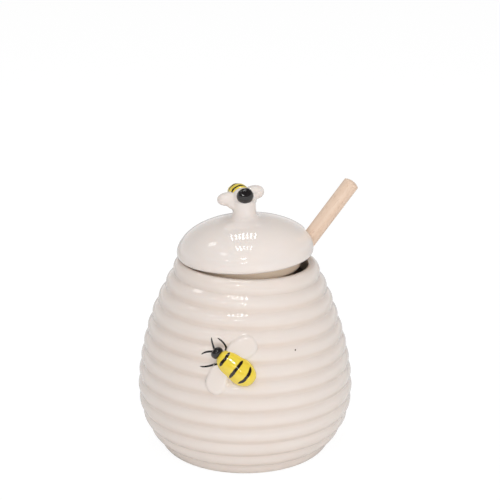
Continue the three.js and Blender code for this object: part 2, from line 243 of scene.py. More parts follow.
def thin(profile, turn, reach):
    """Keeps a point only where the line has turned or run on enough since the last one."""
    steps = np.diff(profile, axis=0)
    heading = np.unwrap(np.arctan2(steps[:, 1], steps[:, 0]))
    kept = [0]
    for index in range(1, len(profile) - 1):
        ran = np.linalg.norm(profile[index] - profile[kept[-1]])
        if ran > reach or abs(heading[index] - heading[kept[-1]]) > turn:
            kept.append(index)
    return profile[kept + [len(profile) - 1]]


def whole_profile(parts, rounding, turn, reach):
    """Joins, softens and thins the parts of a profile that begins and ends on the axis."""
    profile = thin(soften(np.vstack(parts), rounding), math.radians(turn), reach)
    profile[[0, -1], 0] = 0
    return profile


def ramp(values, low, high):
    """Rises evenly from 0 to 1 between two values."""
    return np.clip((values - low) / (high - low), 0, 1)


def smooth_step(values, low, high):
    """Rises gently from 0 to 1 between two values."""
    share = ramp(values, low, high)
    return share * share * (3 - 2 * share)


# %% Spin a profile, and make pieces from points
def even_azimuths(count):
    """Angles in radians, evenly round the axis."""
    return np.linspace(0, 2 * math.pi, count, endpoint=False)


def spin(profile, azimuths):
    """Points and faces of a profile spun about Z. Azimuth 0 is the front, and both ends of
    the profile lie on the axis."""
    turns = len(azimuths)
    radius, height = profile[1:-1, :1], profile[1:-1, 1:]
    rings = [radius * np.sin(azimuths), -radius * np.cos(azimuths), np.repeat(height, turns, 1)]
    points = np.stack(rings, axis=-1).reshape(-1, 3)
    start, end = len(points), len(points) + 1
    points = np.vstack([points, [0, 0, profile[0, 1]], [0, 0, profile[-1, 1]]])
    grid = np.arange(start).reshape(-1, turns)
    beside = np.roll(grid, -1, axis=1)
    quads = np.stack([grid[:-1], beside[:-1], beside[1:], grid[1:]], axis=-1)
    faces = quads.reshape(-1, 4).tolist()
    faces += [[start, b, a] for a, b in zip(grid[0], beside[0])]
    faces += [[end, a, b] for a, b in zip(grid[-1], beside[-1])]
    return points, faces


def tube_faces(ring_count, corner_count):
    """Faces that join rings of corners one after another, and close both ends."""
    grid = np.arange(ring_count * corner_count).reshape(ring_count, corner_count)
    beside = np.roll(grid, -1, axis=1)
    quads = np.stack([grid[:-1], grid[1:], beside[1:], beside[:-1]], axis=-1)
    return [*quads.reshape(-1, 4).tolist(), grid[0].tolist(), grid[-1, ::-1].tolist()]


def join_points(parts):
    """One set of points and faces from several."""
    points = np.vstack([part[0] for part in parts])
    faces = []
    start = 0
    for part_points, part_faces in parts:
        faces += [[corner + start for corner in face] for face in part_faces]
        start += len(part_points)
    return points, faces


def make_mesh(name, points, faces):
    """A smooth mesh in metres from points in millimetres."""
    mesh = bpy.data.meshes.new(name)
    mesh.from_pydata((np.asarray(points) * mm).tolist(), [], faces)
    mesh.shade_smooth()
    return mesh


def rotated(place, degrees, axis):
    """A place turned about one of its own axes."""
    return place @ Matrix.Rotation(math.radians(degrees), 4, axis)


def add_piece(mesh, material, body, slot, replaces=(), place=Matrix()):
    """Puts a mesh in the scene as a piece that rides on a body."""
    piece = add_object(mesh.name, mesh)
    piece.matrix_world = place
    mesh.materials.append(material)
    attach(piece, body)
    if replaces:
        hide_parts(*replaces)
    print(mesh.name, "has", len(mesh.polygons), "faces")


def add_shape(name, shape, *facts):
    """Adds a piece from its points and faces."""
    add_piece(make_mesh(name, *shape), *facts)


# %% [markdown]
# Porcelain is a warm white clay under a clear glaze. The glaze runs off the crowns and pools
# in the grooves, where it looks deeper and warmer, and iron in the clay leaves a rare dark
# speck. The same second colour also carries painted light: painted shade on the undersides of
# the jar's coils, and painted warm bounce light on the lid's flange. These effects are
# shared, so they are node groups, and each material places them with its own values.


# %% Node helpers
def new_group(name, inputs):
    """A shader node group and its inputs' sockets. Each input is a number, a vector of three
    or a colour of four, as its starting value says."""
    group = bpy.data.node_groups.new(name, "ShaderNodeTree")
    kinds = {1: "Float", 3: "Vector", 4: "Color"}
    for label, value in inputs.items():
        kind = "NodeSocket" + kinds[np.size(value)]
        socket = group.interface.new_socket(label, in_out="INPUT", socket_type=kind)
        socket.default_value = value
    print("node group:", name)
    return group, group.nodes.new("NodeGroupInput").outputs


def put_out(group, results):
    """Gives a group its outputs: each is a colour or a value, as the result is."""
    for label, result in results.items():
        kind = "NodeSocketColor" if result.type == "RGBA" else "NodeSocketFloat"
        group.interface.new_socket(label, in_out="OUTPUT", socket_type=kind)
    set_inputs(group, group.nodes.new("NodeGroupOutput"), results)


def math_node(tree, operation, *values, clamp=False):
    """A Math node's output."""
    inputs = dict(enumerate(values))
    return new_node(tree, "Math", inputs, operation=operation, use_clamp=clamp)[0]


def noise_node(tree, place, scale, detail=2.0, roughness=0.5):
    """A Noise Texture's value, around 0.5."""
    inputs = {"Vector": place, "Scale": scale, "Detail": detail, "Roughness": roughness}
    return new_node(tree, "TexNoise", inputs)["Fac"]


def stretched(tree, place, scale):
    """Coordinates scaled along each axis, so that what is drawn with them runs long."""
    return new_node(tree, "Mapping", {"Vector": place, "Scale": scale})[0]


def mix_colours(tree, share, first, second):
    """A Mix node's colour."""
    return new_node(tree, "Mix", {0: share, 6: first, 7: second}, data_type="RGBA")[2]


def linear(red, green, blue):
    """A colour written as it looks on the screen, from 0 to 255, for a shader."""
    parts = [value / 255 for value in (red, green, blue)]
    curve = [p / 12.92 if p <= 0.04045 else ((p + 0.055) / 1.055) ** 2.4 for p in parts]
    return (*curve, 1.0)


# %% Glaze tone: cloudy variation, pooling in the grooves with painted light, and iron specks
inputs = {"Place": origin, "Colour": white, "Pool And Light Colour": white, "Pool And Light": 0.0}
tone, given = new_group("glaze_tone", inputs)
calc = partial(math_node, tone)
cloud_share = 0.3
speck_colour = linear(96, 70, 52)
speck_size = 0.03
speckless_share = 0.965
cloud = noise_node(tone, given["Place"], scale=55, detail=3)
# Gathered glaze, painted shade on the jar and painted bounce light on the lid turn the tone to
# its second colour
pool_and_light_tone = calc("MULTIPLY_ADD", cloud, cloud_share, given["Pool And Light"], clamp=True)
glazed = mix_colours(tone, pool_and_light_tone, given["Colour"], given["Pool And Light Colour"])
cells = new_node(tone, "TexVoronoi", {"Vector": given["Place"], "Scale": 70})
cell_share = new_node(tone, "SeparateColor", {0: cells["Color"]})[0]
is_rare = calc("GREATER_THAN", cell_share, speckless_share)
is_near = calc("LESS_THAN", cells["Distance"], speck_size)
speck = calc("MULTIPLY", is_rare, is_near)
put_out(tone, {"Colour": mix_colours(tone, speck, glazed, speck_colour)})

# %% Glaze ripple: the slow waviness of a fired glaze, as a height and as a gloss
ripple, given = new_group("glaze_ripple", {"Place": origin, "Gloss": 0.1})
calc = partial(math_node, ripple)
fine_share = 0.012
gloss_spread = 0.05
slow = noise_node(ripple, given["Place"], scale=85, detail=1)
fine = noise_node(ripple, given["Place"], scale=650, detail=2)
haze = noise_node(ripple, given["Place"], scale=120, detail=4)
put_out(ripple, {
    "Height": calc("MULTIPLY_ADD", fine, fine_share, slow),
    "Roughness": calc("MULTIPLY_ADD", haze, gloss_spread, given["Gloss"]),
})


# %% A glazed material
def new_material(name):
    """A material, its tree and Principled shader, and the place on the object in metres."""
    material = bpy.data.materials.new(name)
    material.use_nodes = True
    tree = material.node_tree
    place = new_node(tree, "TexCoord", {})["Object"]
    print("material:", name)
    return material, tree, tree.nodes["Principled BSDF"], place


def bumped(tree, height, distance):
    """A normal that is tilted by a height. The distance in metres is its depth."""
    return new_node(tree, "Bump", {"Height": height, "Distance": distance})[0]


def glaze_over(tree, shader, place, distance, gloss, coat):
    """The clear coat and the ripple that every glazed finish shares. Gives its roughness."""
    waves = new_node(tree, "Group", {"Place": place, "Gloss": gloss}, node_tree=ripple)
    set_inputs(tree, shader, {
        "Roughness": waves["Roughness"], "Normal": bumped(tree, waves["Height"], distance),
        "IOR": 1.5, "Coat Weight": coat, "Coat Roughness": 0.02,
    })
    return waves["Roughness"]


# %% Porcelain
ivory = linear(239, 229, 222)
# Painted shade: this darker ivory stands for real glaze pooling and for the shade under each
# coil
pooled_and_shaded_ivory = linear(228, 211, 198)
# Painted reflection: the lid is the jar's porcelain, and its cooler white stands in for the pale
# room it reflects
lid_ivory_painted_sky = linear(237, 229, 225)
# Painted light: a bright warm cream that stands in for light bounced into the gap under the
# lid's edge
flange_painted_bounce_light = linear(255, 234, 212)
biscuit = linear(232, 222, 208)
biscuit_roughness = 0.75
foot_glaze_line = 0.9 * mm
iron_speck_squeeze = Vector((1, 0.1, 1))
iron_speck_place = Vector((24.9, -43.7 * iron_speck_squeeze.y, 67.7)) * mm
iron_speck_radius = 0.45 * mm
iron_speck_edge = 0.4 * iron_speck_radius
iron_brown = linear(70, 50, 40)


def make_porcelain(name, colour, pool_and_light_tone, has_foot=False):
    """Warm white porcelain. A point attribute says where the second colour goes: glaze that
    runs together, with painted shade on the jar and painted bounce light on the lid. The foot
    is bare of glaze, and the wall above it has one iron speck at the front right."""
    material, tree, shader, place = new_material(name)
    calc = partial(math_node, tree)
    pool_and_painted_light = new_node(tree, "Attribute", {}, attribute_name="pool_and_painted_light")["Fac"]
    inputs = {"Place": place, "Colour": colour, "Pool And Light Colour": pool_and_light_tone, "Pool And Light": pool_and_painted_light}
    colour = new_node(tree, "Group", inputs, node_tree=tone)["Colour"]
    rough = glaze_over(tree, shader, place, distance=0.00003, gloss=0.04, coat=0.25)
    if has_foot:
        height = new_node(tree, "SeparateXYZ", {0: place})["Z"]
        bare = calc("LESS_THAN", height, foot_glaze_line)
        colour = mix_colours(tree, bare, colour, biscuit)
        rough = calc("MAXIMUM", rough, calc("MULTIPLY", bare, biscuit_roughness))
        ends = {0: stretched(tree, place, iron_speck_squeeze), 1: iron_speck_place}
        away = new_node(tree, "VectorMath", ends, operation="DISTANCE")["Value"]
        speck = calc("SUBTRACT", iron_speck_radius, away)
        speck = calc("DIVIDE", speck, iron_speck_edge, clamp=True)
        colour = mix_colours(tree, speck, colour, iron_brown)
    set_inputs(tree, shader, {
        "Base Color": colour, "Roughness": rough, "Subsurface Weight": 0.12,
        "Subsurface Radius": (0.0022, 0.0016, 0.0012), "Subsurface Scale": 1.0,
    })
    return material


jar_porcelain = make_porcelain("jar_porcelain", ivory, pooled_and_shaded_ivory, has_foot=True)
lid_porcelain = make_porcelain("lid_porcelain", lid_ivory_painted_sky, flange_painted_bounce_light)

# %% [markdown]
# The jar was slip cast in a mould: one wall, coiled like straw rope, that narrows to a soft
# lip. The belly line runs through the bottoms of the grooves, and each coil is a low arch on
# it. Glaze rounds the grooves, so the whole profile is softened.

# %% Belly line
coil_count = 11
coil_bulge = 1.2
lowest_cut, highest_cut = 0.1, 0.6
coil_crowding = 0.7
neck_sag = 0.7
heel = np.array([46.1, 5.6])
belly = np.array([55.5, 33.1])
neck = np.array([37.85, 94.9])
lower = bend([heel, heel + [6.4, 8.5], belly - [0, 11.2], belly], 400)
upper = bend([belly, belly + [-0.4, 19], neck + [10, -17.3], neck], 800)
belly_line = np.vstack([lower, upper[1:]])
belly_run = run_lengths(belly_line)
belly_slope = np.gradient(belly_line, belly_run, axis=0)
belly_slope /= np.linalg.norm(belly_slope, axis=1)[:, None]
print("belly line is", round(belly_run[-1], 1), "mm long")


def beside_belly(share, offset):
    """A point a share of the way up the belly line, and an offset out of the wall."""
    run = np.atleast_1d(share) * belly_run[-1]
    point = at_runs(belly_line, belly_run, run)
    slope = at_runs(belly_slope, belly_run, run)
    return point + np.atleast_1d(offset)[:, None] * slope[:, ::-1] * [1, -1]


def groove_share(index):
    """Grooves are a coil apart, but a little closer halfway up and lower at the neck."""
    even = index / coil_count
    crowded = coil_crowding * math.sin(2 * math.pi * even) - neck_sag * even
    return even + crowded / belly_run[-1]


# %% Jar profile
foot_radius = 43
foot_ring_width = 3.5
foot_recess = 0.9
lip_height = 101.3
lip_outer = 36.4
mouth_radius = 31.7
wall_thickness = 4.2
floor_height = 5.6
floor_radius = 36
glaze_rounding = 0.55

foot_inner = foot_radius - foot_ring_width
foot_middle = [(foot_radius + heel[0]) / 2 + 0.9, heel[1] / 2 - 0.9]
jar_line = [
    [[0, foot_recess], [foot_inner - foot_recess, foot_recess], [foot_inner, 0]],
    bend([[foot_radius, 0], foot_middle, heel]),
]
along = np.linspace(0, 1, 25)
for coil in range(coil_count):
    start, end = groove_share(coil), groove_share(coil + 1)
    up_wall = start + (end - start) * along
    cut = lowest_cut + (highest_cut - lowest_cut) * up_wall
    jar_line.append(beside_belly(up_wall, 4 * (coil_bulge + cut) * along * (1 - along) - cut))
lip_side = [lip_outer, lip_height - 1]
lip_top = [(lip_outer + mouth_radius) / 2, lip_height]
inside_wall = beside_belly(np.linspace(0.92, 0.02, 60), -wall_thickness)
jar_line += [
    bend([jar_line[-1][-1], [39, neck[1] + 3], lip_side]),
    bend([lip_side, [lip_outer - 0.5, lip_height], lip_top]),
    bend([lip_top, [mouth_radius, lip_height], [mouth_radius, lip_height - 2.2]]),
    [[mouth_radius, lip_height - 8.5]],
    inside_wall,
    bend([inside_wall[-1], [floor_radius + 3, floor_height], [floor_radius, floor_height]]),
    [[0, floor_height]],
]
jar_profile = whole_profile(jar_line, glaze_rounding, turn=4, reach=1.8)
print("jar profile has", len(jar_profile), "points")

# %% [markdown]
# The bee on the wall is pressed clay. Its wings are low pads that swallow the coils under
# them, so the wall itself is raised. Each point of the wall takes the wing's height or its
# own, whichever is more, with a soft join like the melted edge that glaze leaves.

# %% Frame of the relief on the wall
relief_height = 61.2
relief_azimuth = math.radians(-5)
relief_spin = -31
relief_run = np.interp(relief_height, belly_line[:, 1], belly_run)
beside = beside_belly(relief_run / belly_run[-1], coil_bulge / 2)
relief_radius, relief_centre_height = beside[0]
slope_out, slope_up = at_runs(belly_slope, belly_run, relief_run)[0]
sin, cos = math.sin(relief_azimuth), math.cos(relief_azimuth)
outwards = Vector((slope_up * sin, -slope_up * cos, -slope_out))
sideways = Vector((cos, sin, 0))
upwards = outwards.cross(sideways)
relief_turn = Matrix((sideways, upwards, outwards)).transposed().to_4x4()
relief_centre = Vector((relief_radius * sin, -relief_radius * cos, relief_centre_height))
relief_place = rotated(Matrix.Translation(relief_centre * mm) @ relief_turn, relief_spin, "Z")
print("relief centre in mm:", [round(value, 1) for value in relief_centre])


# %% Wing outlines, and how deep a point lies inside one
def wing_outline(root, sweep, length, width):
    """A teardrop from a narrow root, in millimetres on the relief's frame."""
    half = width / 2
    widest = length * 0.62
    side = np.vstack([
        bend([[0, 1.5], [widest * 0.25, half * 0.8], [widest * 0.6, half], [widest, half]]),
        bend([[widest, half], [length * 0.86, half], [length, half * 0.55], [length, 0]]),
    ])
    outline = np.vstack([side, side[::-1] * [1, -1]])
    angle = math.radians(sweep)
    cos, sin = math.cos(angle), math.sin(angle)
    return outline @ np.array([[cos, sin], [-sin, cos]]) + root


def depth_inside(points, outline):
    """How far inside a closed outline each point is. Outside, it is negative."""
    start, end = outline, np.roll(outline, -1, axis=0)
    edge = end - start
    length = np.maximum((edge ** 2).sum(1), 1e-12)
    gap = points[:, None] - start[None]
    share = np.clip((gap * edge).sum(2) / length, 0, 1)
    distance = np.linalg.norm(gap - share[..., None] * edge, axis=2).min(1)
    above = points[:, None, 1] < np.stack([start[:, 1], end[:, 1]])[:, None]
    crosses = above[0] != above[1]
    rise = np.where(edge[:, 1] == 0, 1e-12, edge[:, 1])
    meets = start[:, 0] + (points[:, None, 1] - start[:, 1]) * edge[:, 0] / rise
    inside = (crosses & (points[:, None, 0] < meets)).sum(1) % 2 == 1
    return np.where(inside, distance, -distance)


upper_wing = wing_outline(root=[-6.6, 2], sweep=62, length=16.2, width=11)
lower_wing = wing_outline(root=[-7.2, -1.5], sweep=-73, length=16.4, width=10.4)
print("each wing has", len(upper_wing), "outline points")

# %% Spin the jar, finely round the relief, and find how far its wall stands out
relief_start, relief_end = np.radians([-31, 15])
fine_step = math.radians(0.5)
coarse_step = math.radians(1.6)
fine_part = np.arange(relief_start, relief_end, fine_step)
coarse_part = np.arange(relief_end, relief_start + 2 * math.pi, coarse_step)
jar_points, jar_faces = spin(jar_profile, np.r_[fine_part, coarse_part])

radius = np.hypot(jar_points[:, 0], jar_points[:, 1])
nearest_run = np.interp(jar_points[:, 2], belly_line[:, 1], belly_run)
wall_point = beside_belly(nearest_run / belly_run[-1], 0)
wall_normal = at_runs(belly_slope, belly_run, nearest_run)[:, ::-1] * [1, -1]
side_points = np.column_stack([radius, jar_points[:, 2]])
stands_out = ((side_points - wall_point) * wall_normal).sum(1)
above_heel = (jar_points[:, 2] > heel[1]) & (jar_points[:, 2] < neck[1])
is_outside = above_heel & (stands_out > -1)
print("points on the outside of the wall:", is_outside.sum())

# %% Raise the wings out of the wall
wing_edge = 1.7
wing_join = 0.3
wing_fall = 4
wing_margin = 3
relief_reach = 27
relief_depth = 12
in_metres = np.column_stack([jar_points * mm, np.ones(len(jar_points))])
local = (np.array(relief_place.inverted()) @ in_metres.T)[:3].T / mm
near_relief = is_outside & (np.hypot(local[:, 0] + 3, local[:, 1]) < relief_reach)
near_relief &= local[:, 2] > -relief_depth
raised = stands_out[near_relief].copy()
for outline, lift in [(upper_wing, 0.8), (lower_wing, 1.25)]:
    depth = depth_inside(local[near_relief, :2], outline)
    inwards = ramp(depth, 0, wing_edge)
    wing = coil_bulge + lift * np.sqrt(1 - (1 - inwards) ** 2) + wing_fall * np.minimum(depth, 0)
    gap = raised - wing
    joined = (raised + wing + np.sqrt(gap ** 2 + wing_join ** 2)) / 2
    raised = np.where(depth > -wing_margin, joined, raised)
push = np.zeros(len(jar_points))
push[near_relief] = np.maximum(raised - stands_out[near_relief], 0)
compass = jar_points[:, :2] / np.maximum(radius, 1e-9)[:, None]
jar_points[:, :2] += compass * (push * wall_normal[:, 0])[:, None]
jar_points[:, 2] += push * wall_normal[:, 1]
print("the wings stand out by up to", round(push.max(), 1), "mm")

# %% [markdown]
# No hand-made jar is quite true. The rings climb a little towards -X, the more the higher
# they are, as on the imported jar, and the neck sits a little to the right. The glaze gathers
# just above each groove, on the underside of the coil above, so its darker colour there is
# partly real glaze pooling and partly painted shade. A point attribute keeps that for the
# shader.

# %% Jar casting
rim_slope = 0.03
level_height = 12
neck_shift = 0.8
neck_shift_from, neck_shift_to = 70, 97
climb_share = ramp(jar_points[:, 2], level_height, lip_height)
jar_points[:, 2] -= jar_points[:, 0] * rim_slope * climb_share
jar_points[:, 0] += neck_shift * smooth_step(jar_points[:, 2], neck_shift_from, neck_shift_to)

# Painted shade: the darker band just above each groove also stands for the shade on each coil's
# underside
pool_and_shade_strength = 0.6
pool_and_shade_middle = 1.4
pool_and_shade_spread = 1.7
pool_and_shade_inside = 0.1
grooves = [groove_share(index) for index in range(coil_count + 1)]
phase = np.interp(nearest_run / belly_run[-1], grooves, range(coil_count + 1)) % 1
above_groove = np.where(phase > 0.7, phase - 1, phase) * belly_run[-1] / coil_count
gathered_and_shaded = pool_and_shade_strength * np.exp(-((above_groove - pool_and_shade_middle) / pool_and_shade_spread) ** 2)
pool_and_painted_light = np.where(is_outside, gathered_and_shaded * (push < 0.3), pool_and_shade_inside)


def add_pool_and_light(mesh, values):
    """Keeps how much gathered glaze and painted light each point takes, for the shader."""
    mesh.attributes.new("pool_and_painted_light", "FLOAT", "POINT").data.foreach_set("value", values)


jar_mesh = make_mesh("jar_casting", jar_points, jar_faces)
add_pool_and_light(jar_mesh, pool_and_painted_light)
solids = ["jar_body", "relief_wing_upper", "relief_wing_lower"]
add_piece(jar_mesh, jar_porcelain, "jar", "porcelain", solids)

# %% [markdown]
# The bee's body is an egg of clay, half sunk in the wall, brushed yellow before the clear
# glaze went on. Its dark bands are single brush strokes: full in the middle, dry and narrow
# at the ends, and a little unsteady. A node group draws one such stroke on any painted bee.

# %% Brush band group
band, given = new_group("brush_band", {
    "Place": origin, "Along": 0.0, "Bow": 0.0, "Middle": 0.0,
    "Half Length": 0.005, "Half Width": 0.0008, "Other Bands": 0.0,
})
calc = partial(math_node, band)
hand_wobble = 1.1 * mm
wet_edge = 0.22 * mm
axes = new_node(band, "SeparateXYZ", {0: given["Place"]})
across = calc("DIVIDE", calc("SUBTRACT", axes["Y"], given["Middle"]), given["Half Length"])
square = calc("MULTIPLY", across, across)
line = calc("SUBTRACT", axes["X"], given["Along"])
line = calc("MULTIPLY_ADD", square, given["Bow"], line)
wobble = calc("SUBTRACT", noise_node(band, given["Place"], scale=420, detail=2), 0.5)
offset = calc("ABSOLUTE", calc("MULTIPLY_ADD", wobble, hand_wobble, line))
fourth = calc("MULTIPLY", square, square)
taper = calc("SUBTRACT", 1.0, calc("MULTIPLY", fourth, fourth), clamp=True)
covered = calc("SUBTRACT", calc("MULTIPLY", given["Half Width"], taper), offset)
edge = calc("ADD", calc("DIVIDE", covered, wet_edge), 0.5, clamp=True)
put_out(band, {"Mask": calc("MAXIMUM", edge, given["Other Bands"])})

# %% Painted bee finish
yellow = linear(245, 222, 82)
deep_yellow = linear(241, 207, 58)
soot = linear(30, 18, 10)
black = linear(16, 16, 19)
brown_black = linear(34, 27, 25)


def make_striped_yellow(name, bands):
    """Yellow underglaze with brushed dark bands, at places in millimetres."""
    material, tree, shader, place = new_material(name)
    streaks = noise_node(tree, place, scale=260, detail=3)
    base = mix_colours(tree, streaks, yellow, deep_yellow)
    labels = ["Along", "Bow", "Middle", "Half Length", "Half Width"]
    mask = 0.0
    for values in bands:
        inputs = {label: value * mm for label, value in zip(labels, values)}
        inputs |= {"Place": place, "Other Bands": mask}
        mask = new_node(tree, "Group", inputs, node_tree=band)["Mask"]
    set_inputs(tree, shader, {"Base Color": mix_colours(tree, mask, base, soot)})
    glaze_over(tree, shader, place, distance=0.00008, gloss=0.05, coat=0.6)
    return material


def make_black(name):
    """Near-black underglaze, a touch browner where the brush left it thin."""
    material, tree, shader, place = new_material(name)
    thin_paint = noise_node(tree, place, scale=500, detail=3)
    set_inputs(tree, shader, {"Base Color": mix_colours(tree, thin_paint, black, brown_black)})
    glaze_over(tree, shader, place, distance=0.00012, gloss=0.04, coat=0.6)
    return material


black_glaze = make_black("black_underglaze")


# %% Relief body
lying_along_x = [2, 0, 1]


def hand_made(points, amount, grain):
    """Uneven by a fraction of a millimetre, as clay rolled between fingers is."""
    shifts = [noise.noise(Vector(point) / grain) for point in points.tolist()]
    reach = np.linalg.norm(points, axis=1)[:, None] + 1e-9
    return points + points / reach * np.array(shifts)[:, None] * amount


body_place = rotated(relief_place, -5.5, "Z")
body_side = np.vstack([
    bend([[0, -10.6], [5.8, -10.6], [5.9, -4.2], [6.45, 2.2]], 36),
    bend([[6.45, 2.2], [6.6, 6.8], [4.6, 11.1], [0, 11.1]], 36)[1:],
])
body_flatness = 0.8
egg_points, egg_faces = spin(body_side, even_azimuths(80))
egg_points = egg_points[:, lying_along_x] * [1, 1, body_flatness]
egg_points = hand_made(egg_points, amount=0.3, grain=5)
relief_bands = [
    (-7.0, 0.0, 0.3, 4.2, 0.78),
    (0.5, 0.0, -0.1, 5.6, 0.82),
    (6.9, 1.5, 0.2, 5.2, 0.82),
]
relief_yellow = make_striped_yellow("relief_yellow", relief_bands)
facts = [relief_yellow, "jar", "yellow_glaze", ["relief_body"], body_place]
add_shape("relief_bee_body", (egg_points, egg_faces), *facts)


# %% Rounded lumps, and the relief's head
def lump(half_sizes, bluntness, turns=64):
    """A superellipsoid: 2 gives an ellipsoid, and more gives squarer shoulders."""
    angle = np.linspace(0, math.pi, turns // 2 + 1)
    circle = np.column_stack([np.sin(angle), -np.cos(angle)])
    circle[[0, -1], 0] = 0
    points, faces = spin(circle, even_azimuths(turns))
    size = (np.abs(points) ** bluntness).sum(1) ** (-1 / bluntness)
    return points * size[:, None] * half_sizes, faces


def hand_made_lump(half_sizes, bluntness, centre, amount, grain):
    """An uneven lump about a centre."""
    points, faces = lump(half_sizes, bluntness)
    return hand_made(points, amount, grain) + centre, faces


relief_head = hand_made_lump([2.4, 3.2, 2.7], 2.2, [-11.9, 0, 0], amount=0.35, grain=2.5)
facts = [black_glaze, "jar", "black_glaze", ["relief_head"], body_place]
add_shape("relief_bee_head", relief_head, *facts)

# %% [markdown]
# Legs and feelers are four quick strokes of a loaded brush around the head. They are thin
# ribbons, because a stroke a millimetre wide needs more sharpness than a texture on the whole
# jar would keep. Each point is dropped onto the finished wall along the relief's own
# direction, so the ribbon follows every coil.

# %% Painted strokes
stroke_lift = 0.07
stroke_half_width = 0.56
strokes = [
    [(-12.4, 0.8), (-14.6, 1.9), (-16.9, 4.0), (-18.3, 6.0)],
    [(-8.9, 4.4), (-9.4, 6.4), (-11.6, 7.6), (-15.6, 7.5)],
    [(-12.6, 1.4), (-15.4, -0.1), (-17.3, -1.8), (-18.1, -4.0)],
    [(-8.0, -2.2), (-11.0, -5.8), (-13.1, -8.6), (-15.6, -9.4)],
]
wall_tree = BVHTree.FromPolygons(jar_points.tolist(), jar_faces)
relief_in_mm = relief_place.copy()
relief_in_mm.translation = relief_place.translation / mm
brush_direction = -(relief_in_mm.to_3x3() @ Vector((0, 0, 1)))


def drop_on_wall(across, up):
    """The point of the wall under a place on the relief's frame, and the wall's normal."""
    start = relief_in_mm @ Vector((across, up, 12))
    point, normal, _, _ = wall_tree.ray_cast(start, brush_direction)
    return np.array(point), np.array(normal)


ribbon_section = [(-1, -0.1), (-0.6, 0.7), (0, 1), (0.6, 0.7), (1, -0.1), (0, -2.5)]
stroke_parts = []
for controls in strokes:
    path = bend(controls, 28)
    run = run_lengths(path) / run_lengths(path)[-1]
    heading = np.gradient(path, axis=0)
    heading /= np.linalg.norm(heading, axis=1)[:, None]
    fullness = np.sqrt(1 - np.clip(run, 0, 0.99) ** 6) * (1 - 0.2 * run)
    points = []
    for (x, y), (along_x, along_y), full in zip(path, heading, fullness):
        for side, lift in ribbon_section:
            shift = side * full * stroke_half_width
            point, normal = drop_on_wall(x - along_y * shift, y + along_x * shift)
            points.append(point + normal * lift * stroke_lift)
    stroke_parts.append((points, tube_faces(len(path), len(ribbon_section))))
add_shape("painted_legs", join_points(stroke_parts), black_glaze, "jar", "black_glaze")

# %% [markdown]
# Lid and knob are one casting: a domed shell with a flange, an arch cut out of its edge for
# the dipper, and the bee's stem, shoulders and wings luted on top. The rough clay parts are
# merged by a voxel remesh, the creases are filled the way slip fills them, and away from the
# cut and the knob the surface is drawn back onto the true dome, so that it mirrors cleanly.

# %% Lid profile
lid_radius = 35.4
dome_height = 17.25
dome_roundness = 2.05
lid_thickness = 4.2
lid_edge_depth = 3.2
flange_radius = 28.5
flange_inner = flange_radius - 3.4
flange_bottom = -lid_edge_depth - 6.3


def dome_quarter(radius, height, steps=60):
    """A quarter superellipse from the widest circle up to the top."""
    angle = np.linspace(0, math.pi / 2, steps + 1)
    across = radius * np.clip(np.cos(angle), 0, 1) ** (2 / dome_roundness)
    return np.column_stack([across, height * np.sin(angle) ** (2 / dome_roundness)])


inner_dome = dome_quarter(lid_radius - lid_thickness, dome_height - lid_thickness)[::-1]
inner_corner = [lid_radius - lid_thickness, -lid_edge_depth]
seat_edge = [lid_radius - 2.6, -lid_edge_depth]
rim = [lid_radius, -lid_edge_depth]
lid_line = [
    inner_dome,
    bend([inner_dome[-1], inner_corner, [flange_inner, -lid_edge_depth]]),
    [[flange_inner, flange_bottom], [flange_radius - 0.5, flange_bottom]],
    [[flange_radius, flange_bottom + 0.8], [flange_radius, -lid_edge_depth], seat_edge],
    bend([seat_edge, rim, [lid_radius, 0]]),
    dome_quarter(lid_radius, dome_height)[1:],
]
lid_profile = whole_profile(lid_line, rounding=0.4, turn=4, reach=1.5)
lid_points, lid_faces = spin(lid_profile, even_azimuths(180))
print("lid profile has", len(lid_profile), "points")

# %% The arch in the lid's edge
dipper_azimuth = 9.5
notch_half_width = 13.5 / 2
notch_top = 7.7
notch_start = 18
arch_centre = notch_top - notch_half_width
arch_angle = np.linspace(0, math.pi, 25)
arch = np.column_stack([np.cos(arch_angle), np.sin(arch_angle)]) * notch_half_width
arch += [0, arch_centre]
below = flange_bottom - 1
arch = np.vstack([arch, [-notch_half_width, below], [notch_half_width, below]])
turn_to_dipper = np.array(rotated(Matrix(), dipper_azimuth, "Z").to_3x3())
tunnel_points = [[depth, y, z] for depth in (2 * lid_radius, notch_start) for y, z in arch]
tunnel_points = np.array(tunnel_points) @ turn_to_dipper.T
tunnel_faces = tube_faces(2, len(arch))
print("the arch has", len(arch), "corners")


# %% Helpers for clay work: cut, merge and fill creases
def modified_mesh(worker):
    """The mesh that an object's modifiers make. The object itself is thrown away."""
    depsgraph = bpy.context.evaluated_depsgraph_get()
    result = bpy.data.meshes.new_from_object(worker.evaluated_get(depsgraph))
    bpy.data.objects.remove(worker)
    return result


def with_modifier(mesh, kind, **values):
    """The mesh that one modifier makes from another mesh."""
    worker = add_object("worker", mesh)
    modifier = worker.modifiers.new(kind, kind)
    for label, value in values.items():
        setattr(modifier, label, value)
    return modified_mesh(worker)


def mesh_points(mesh):
    """A mesh's points in millimetres."""
    points = np.empty(len(mesh.vertices) * 3)
    mesh.vertices.foreach_get("co", points)
    return points.reshape(-1, 3) / mm


def set_points(mesh, points):
    """Moves a mesh's points to new places in millimetres."""
    mesh.vertices.foreach_set("co", (points * mm).ravel())
    mesh.update()


